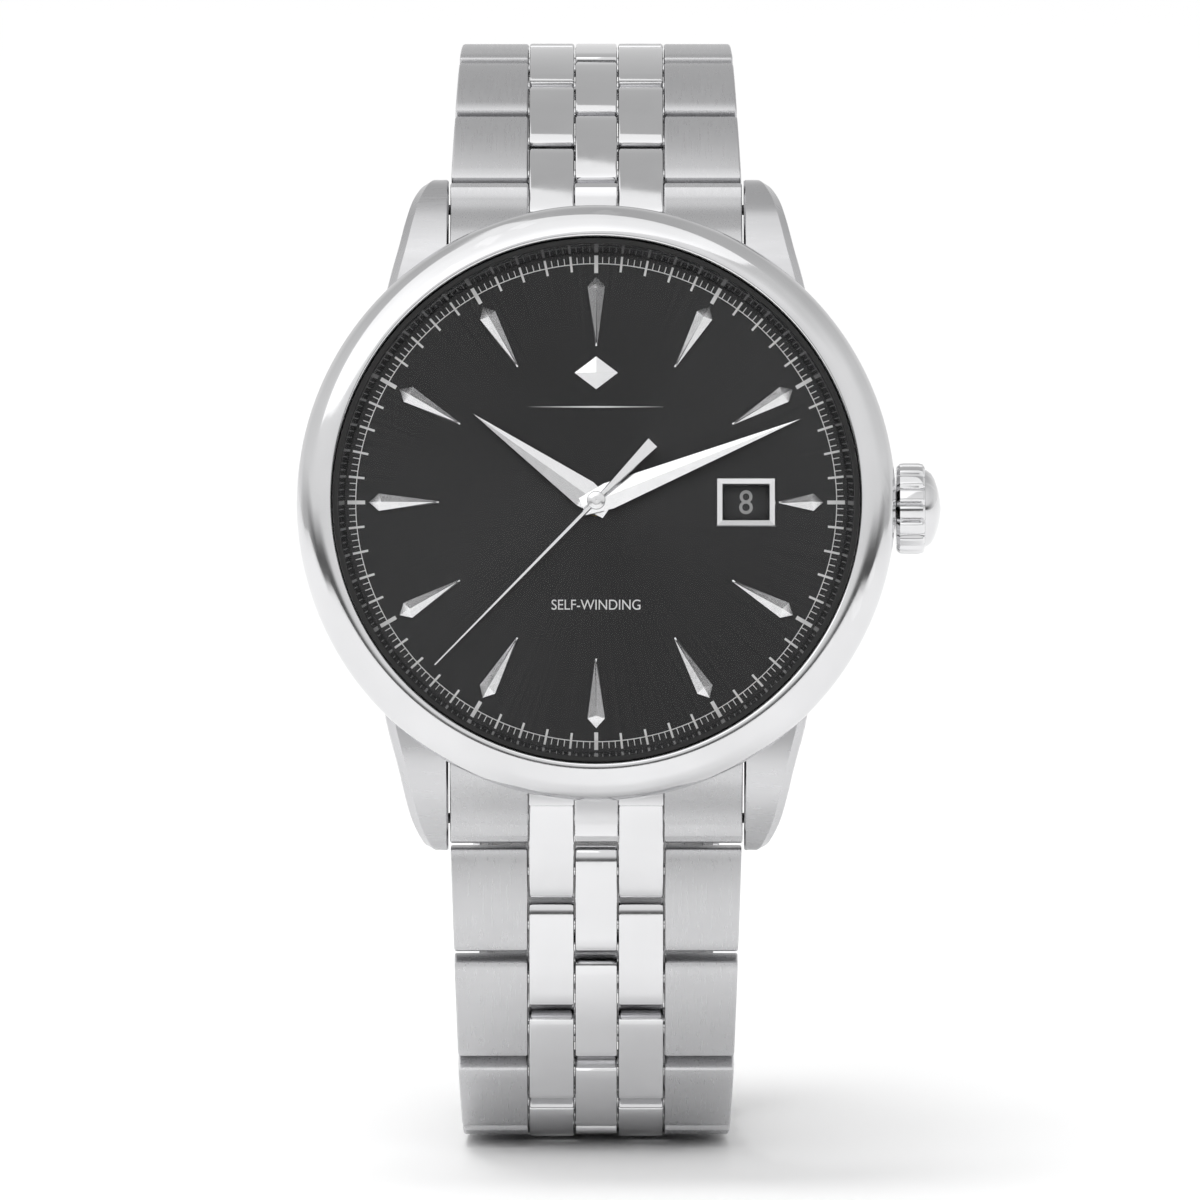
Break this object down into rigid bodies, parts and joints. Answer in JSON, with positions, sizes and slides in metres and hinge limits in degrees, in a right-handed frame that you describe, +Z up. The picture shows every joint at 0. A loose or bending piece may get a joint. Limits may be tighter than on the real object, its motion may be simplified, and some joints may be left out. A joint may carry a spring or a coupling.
{
  "type": "wristwatch",
  "caption": "Round steel wristwatch with black sunray dial, tapered applied hour marks, date window, fluted crown and five-row link bracelet closed by a folding clasp",
  "frame": {"origin": "middle of the flat outer face of the lower bracelet link that the standing watch rests on", "axes": "+Z up, the dial faces -Y leaning 12 degrees back, +X towards the crown; X = 0 is the mid-plane of case and bracelet"},
  "size_m": [0.0431, 0.0561, 0.0734],
  "materials": {
    "brushed_steel": "satin brushed along the bracelet",
    "polished_steel": "mirror polished",
    "sapphire": "clear, anti-reflection coated",
    "black_dial": "black sunray brushed lacquer",
    "date_print": "matt black with a pale numeral",
    "brass": "gilt",
    "nickel_plate": "nickel plated, striped"
  },
  "bodies": {
    "case": {"mid_case": "brushed_steel", "bezel": "polished_steel", "crystal": "sapphire", "rehaut": "black_dial", "case_back": "brushed_steel", "back_crystal": "sapphire", "crown_tube": "polished_steel", "dial": "black_dial", "date_frame": "polished_steel", "main_plate": "nickel_plate", "train_bridge": "nickel_plate", "end_link_upper": "brushed_steel", "end_link_lower": "brushed_steel", "spring_bar_upper": "polished_steel", "spring_bar_lower": "polished_steel"},
    "stem": {"winding_stem": "polished_steel"},
    "crown": {"crown": "polished_steel"},
    "hour_hand": {"hour_hand": "polished_steel"},
    "minute_hand": {"minute_hand": "polished_steel"},
    "second_hand": {"second_hand": "polished_steel"},
    "third_wheel": {"third_wheel": "brass"},
    "escape_wheel": {"escape_wheel": "polished_steel"},
    "pallet_fork": {"pallet_fork": "polished_steel"},
    "balance_wheel": {"balance_wheel": "brass"},
    "barrel": {"barrel": "brass"},
    "rotor": {"rotor": "nickel_plate"},
    "date_disc": {"date_disc": "date_print"},
    "upper_inner_link_1": {"upper_inner_link_1": "polished_steel"},
    "upper_outer_link_1": {"upper_outer_link_1": "brushed_steel"},
    "upper_inner_link_2": {"upper_inner_link_2": "polished_steel"},
    "upper_outer_link_2": {"upper_outer_link_2": "brushed_steel"},
    "upper_inner_link_3": {"upper_inner_link_3": "polished_steel"},
    "upper_outer_link_3": {"upper_outer_link_3": "brushed_steel"},
    "upper_inner_link_4": {"upper_inner_link_4": "polished_steel"},
    "upper_outer_link_4": {"upper_outer_link_4": "brushed_steel"},
    "upper_inner_link_5": {"upper_inner_link_5": "polished_steel"},
    "upper_outer_link_5": {"upper_outer_link_5": "brushed_steel"},
    "upper_inner_link_6": {"upper_inner_link_6": "polished_steel"},
    "upper_outer_link_6": {"upper_outer_link_6": "brushed_steel"},
    "upper_inner_link_7": {"upper_inner_link_7": "polished_steel"},
    "upper_outer_link_7": {"upper_outer_link_7": "brushed_steel"},
    "upper_inner_link_8": {"upper_inner_link_8": "polished_steel"},
    "lower_inner_link_1": {"lower_inner_link_1": "polished_steel"},
    "lower_outer_link_1": {"lower_outer_link_1": "brushed_steel"},
    "lower_inner_link_2": {"lower_inner_link_2": "polished_steel"},
    "lower_outer_link_2": {"lower_outer_link_2": "brushed_steel"},
    "lower_inner_link_3": {"lower_inner_link_3": "polished_steel"},
    "lower_outer_link_3": {"lower_outer_link_3": "brushed_steel"},
    "lower_inner_link_4": {"lower_inner_link_4": "polished_steel"},
    "lower_outer_link_4": {"lower_outer_link_4": "brushed_steel"},
    "lower_inner_link_5": {"lower_inner_link_5": "polished_steel"},
    "lower_outer_link_5": {"lower_outer_link_5": "brushed_steel"},
    "lower_inner_link_6": {"lower_inner_link_6": "polished_steel"},
    "lower_outer_link_6": {"lower_outer_link_6": "brushed_steel"},
    "lower_inner_link_7": {"lower_inner_link_7": "polished_steel"},
    "clasp_outer_blade": {"clasp_outer_blade": "brushed_steel"},
    "clasp_inner_blade": {"clasp_inner_blade": "polished_steel"},
    "clasp_cover": {"clasp_cover": "brushed_steel"},
    "clasp_button_right": {"clasp_button_right": "polished_steel"},
    "clasp_button_left": {"clasp_button_left": "polished_steel"}
  },
  "joints": [
    {"name": "crown_pull", "type": "slide", "parent": "case", "child": "stem", "axis": [1, 0, 0], "range_m": [0, 0.0012]},
    {"name": "crown_turn", "type": "hinge", "parent": "stem", "child": "crown", "pos_m": [0, -0.01897, 0.04389], "axis": [1, 0, 0], "continuous": true},
    {"name": "minute_hand_turn", "type": "hinge", "parent": "case", "child": "minute_hand", "pos_m": [0, -0.02034, 0.04418], "axis": [0, 0.9781, -0.2079], "continuous": true},
    {"name": "hour_hand_turn", "type": "hinge", "parent": "case", "child": "hour_hand", "pos_m": [0, -0.02034, 0.04418], "axis": [0, 0.9781, -0.2079], "continuous": true},
    {"name": "barrel_turn", "type": "hinge", "parent": "case", "child": "barrel", "pos_m": [-0.0076, -0.01967, 0.04731], "axis": [0, 0.9781, -0.2079], "continuous": true},
    {"name": "second_hand_turn", "type": "hinge", "parent": "case", "child": "second_hand", "pos_m": [0, -0.02034, 0.04418], "axis": [0, 0.9781, -0.2079], "continuous": true},
    {"name": "third_wheel_turn", "type": "hinge", "parent": "case", "child": "third_wheel", "pos_m": [0.0041, -0.01945, 0.04839], "axis": [0, 0.9781, -0.2079], "continuous": true},
    {"name": "escape_wheel_turn", "type": "hinge", "parent": "case", "child": "escape_wheel", "pos_m": [0.00198, -0.02097, 0.04122], "axis": [0, 0.9781, -0.2079], "continuous": true},
    {"name": "pallet_fork_rock", "type": "hinge", "parent": "case", "child": "pallet_fork", "pos_m": [-0.0005, -0.02165, 0.03802], "axis": [0, 0.9781, -0.2079], "range_deg": [-5, 5]},
    {"name": "balance_swing", "type": "hinge", "parent": "case", "child": "balance_wheel", "pos_m": [-0.0052, -0.02175, 0.03753], "axis": [0, 0.9781, -0.2079], "range_deg": [-220, 220], "stiffness_Nm_per_rad": 0.0000006},
    {"name": "rotor_swing", "type": "hinge", "parent": "case", "child": "rotor", "pos_m": [0, -0.02034, 0.04418], "axis": [0, 0.9781, -0.2079], "continuous": true},
    {"name": "date_disc_turn", "type": "hinge", "parent": "case", "child": "date_disc", "pos_m": [0, -0.02034, 0.04418], "axis": [0, 0.9781, -0.2079], "continuous": true},
    {"name": "upper_half_fold", "type": "hinge", "parent": "case", "child": "upper_inner_link_1", "pos_m": [0, -0.01168, 0.0633], "axis": [1, 0, 0], "range_deg": [0, 45]},
    {"name": "upper_outer_link_1_hinge", "type": "hinge", "parent": "upper_inner_link_1", "child": "upper_outer_link_1", "pos_m": [0, -0.00857, 0.06531], "axis": [1, 0, 0], "range_deg": [0, 1]},
    {"name": "upper_inner_link_2_hinge", "type": "hinge", "parent": "upper_outer_link_1", "child": "upper_inner_link_2", "pos_m": [0, -0.00543, 0.06727], "axis": [1, 0, 0], "range_deg": [0, 4]},
    {"name": "upper_outer_link_2_hinge", "type": "hinge", "parent": "upper_inner_link_2", "child": "upper_outer_link_2", "pos_m": [0, -0.00217, 0.06901], "axis": [1, 0, 0], "range_deg": [0, 5]},
    {"name": "upper_inner_link_3_hinge", "type": "hinge", "parent": "upper_outer_link_2", "child": "upper_inner_link_3", "pos_m": [0, 0.00124, 0.07046], "axis": [1, 0, 0], "range_deg": [0, 9]},
    {"name": "upper_outer_link_3_hinge", "type": "hinge", "parent": "upper_inner_link_3", "child": "upper_outer_link_3", "pos_m": [0, 0.00483, 0.07135], "axis": [1, 0, 0], "range_deg": [0, 12]},
    {"name": "upper_inner_link_4_hinge", "type": "hinge", "parent": "upper_outer_link_3", "child": "upper_inner_link_4", "pos_m": [0, 0.00853, 0.07148], "axis": [1, 0, 0], "range_deg": [0, 13]},
    {"name": "upper_outer_link_4_hinge", "type": "hinge", "parent": "upper_inner_link_4", "child": "upper_outer_link_4", "pos_m": [0, 0.01216, 0.07077], "axis": [1, 0, 0], "range_deg": [0, 13]},
    {"name": "upper_inner_link_5_hinge", "type": "hinge", "parent": "upper_outer_link_4", "child": "upper_inner_link_5", "pos_m": [0, 0.01554, 0.06927], "axis": [1, 0, 0], "range_deg": [0, 13]},
    {"name": "upper_outer_link_5_hinge", "type": "hinge", "parent": "upper_inner_link_5", "child": "upper_outer_link_5", "pos_m": [0, 0.01849, 0.06704], "axis": [1, 0, 0], "range_deg": [0, 12]},
    {"name": "upper_inner_link_6_hinge", "type": "hinge", "parent": "upper_outer_link_5", "child": "upper_inner_link_6", "pos_m": [0, 0.02092, 0.06425], "axis": [1, 0, 0], "range_deg": [0, 10]},
    {"name": "upper_outer_link_6_hinge", "type": "hinge", "parent": "upper_inner_link_6", "child": "upper_outer_link_6", "pos_m": [0, 0.02283, 0.06108], "axis": [1, 0, 0], "range_deg": [0, 9]},
    {"name": "upper_inner_link_7_hinge", "type": "hinge", "parent": "upper_outer_link_6", "child": "upper_inner_link_7", "pos_m": [0, 0.02421, 0.05765], "axis": [1, 0, 0], "range_deg": [0, 8]},
    {"name": "upper_outer_link_7_hinge", "type": "hinge", "parent": "upper_inner_link_7", "child": "upper_outer_link_7", "pos_m": [0, 0.02511, 0.05406], "axis": [1, 0, 0], "range_deg": [0, 5]},
    {"name": "upper_inner_link_8_hinge", "type": "hinge", "parent": "upper_outer_link_7", "child": "upper_inner_link_8", "pos_m": [0, 0.02569, 0.0504], "axis": [1, 0, 0], "range_deg": [0, 4]},
    {"name": "lower_half_fold", "type": "hinge", "parent": "case", "child": "lower_inner_link_1", "pos_m": [0, -0.0202, 0.02319], "axis": [-1, 0, 0], "range_deg": [0, 25]},
    {"name": "lower_outer_link_1_hinge", "type": "hinge", "parent": "lower_inner_link_1", "child": "lower_outer_link_1", "pos_m": [0, -0.01937, 0.01959], "axis": [-1, 0, 0], "range_deg": [-10.5, 0.5]},
    {"name": "lower_inner_link_2_hinge", "type": "hinge", "parent": "lower_outer_link_1", "child": "lower_inner_link_2", "pos_m": [0, -0.01911, 0.0159], "axis": [-1, 0, 0], "range_deg": [0, 3]},
    {"name": "lower_outer_link_2_hinge", "type": "hinge", "parent": "lower_inner_link_2", "child": "lower_outer_link_2", "pos_m": [0, -0.01866, 0.01222], "axis": [-1, 0, 0], "range_deg": [0, 11]},
    {"name": "lower_inner_link_3_hinge", "type": "hinge", "parent": "lower_outer_link_2", "child": "lower_inner_link_3", "pos_m": [0, -0.01751, 0.0087], "axis": [-1, 0, 0], "range_deg": [0, 15]},
    {"name": "lower_outer_link_3_hinge", "type": "hinge", "parent": "lower_inner_link_3", "child": "lower_outer_link_3", "pos_m": [0, -0.0155, 0.0056], "axis": [-1, 0, 0], "range_deg": [0, 17]},
    {"name": "lower_inner_link_4_hinge", "type": "hinge", "parent": "lower_outer_link_3", "child": "lower_inner_link_4", "pos_m": [0, -0.01267, 0.00322], "axis": [-1, 0, 0], "range_deg": [0, 18]},
    {"name": "lower_outer_link_4_hinge", "type": "hinge", "parent": "lower_inner_link_4", "child": "lower_outer_link_4", "pos_m": [0, -0.00924, 0.00184], "axis": [-1, 0, 0], "range_deg": [0, 17]},
    {"name": "lower_inner_link_5_hinge", "type": "hinge", "parent": "lower_outer_link_4", "child": "lower_inner_link_5", "pos_m": [0, -0.00555, 0.00152], "axis": [-1, 0, 0], "range_deg": [0, 4]},
    {"name": "lower_outer_link_5_hinge", "type": "hinge", "parent": "lower_inner_link_5", "child": "lower_outer_link_5", "pos_m": [0, -0.00185, 0.00145], "axis": [-1, 0, 0], "range_deg": [0, 1]},
    {"name": "lower_inner_link_6_hinge", "type": "hinge", "parent": "lower_outer_link_5", "child": "lower_inner_link_6", "pos_m": [0, 0.00185, 0.00145], "axis": [-1, 0, 0], "range_deg": [0, 8]},
    {"name": "lower_outer_link_6_hinge", "type": "hinge", "parent": "lower_inner_link_6", "child": "lower_outer_link_6", "pos_m": [0, 0.00551, 0.00197], "axis": [-1, 0, 0], "range_deg": [0, 16]},
    {"name": "lower_inner_link_7_hinge", "type": "hinge", "parent": "lower_outer_link_6", "child": "lower_inner_link_7", "pos_m": [0, 0.00889, 0.00347], "axis": [-1, 0, 0], "range_deg": [0, 20]},
    {"name": "clasp_end_hinge", "type": "hinge", "parent": "upper_inner_link_8", "child": "clasp_outer_blade", "pos_m": [0, 0.02601, 0.04672], "axis": [1, 0, 0], "range_deg": [0, 3]},
    {"name": "clasp_unfold", "type": "hinge", "parent": "clasp_outer_blade", "child": "clasp_inner_blade", "pos_m": [0, 0.01336, 0.0101], "axis": [-1, 0, 0], "range_deg": [0, 100]},
    {"name": "clasp_cover_hinge", "type": "hinge", "parent": "clasp_inner_blade", "child": "clasp_cover", "pos_m": [0, 0.02538, 0.04075], "axis": [1, 0, 0], "range_deg": [-0.5, 100.5]},
    {"name": "clasp_button_right_press", "type": "slide", "parent": "clasp_cover", "child": "clasp_button_right", "axis": [1, 0, 0], "range_m": [0, 0.0005], "stiffness_N_per_m": 400},
    {"name": "clasp_button_left_press", "type": "slide", "parent": "clasp_cover", "child": "clasp_button_left", "axis": [-1, 0, 0], "range_m": [0, 0.0005], "stiffness_N_per_m": 400}
  ],
  "couplings": [
    {"joint": "hour_hand_turn", "follows": "minute_hand_turn", "ratio": 0.083333},
    {"joint": "barrel_turn", "follows": "minute_hand_turn", "ratio": -0.15},
    {"joint": "third_wheel_turn", "follows": "second_hand_turn", "ratio": -1.1667},
    {"joint": "escape_wheel_turn", "follows": "second_hand_turn", "ratio": -8},
    {"joint": "lower_outer_link_1_hinge", "follows": "lower_half_fold", "ratio": -0.36},
    {"joint": "clasp_cover_hinge", "follows": "clasp_unfold", "ratio": 1}
  ]
}
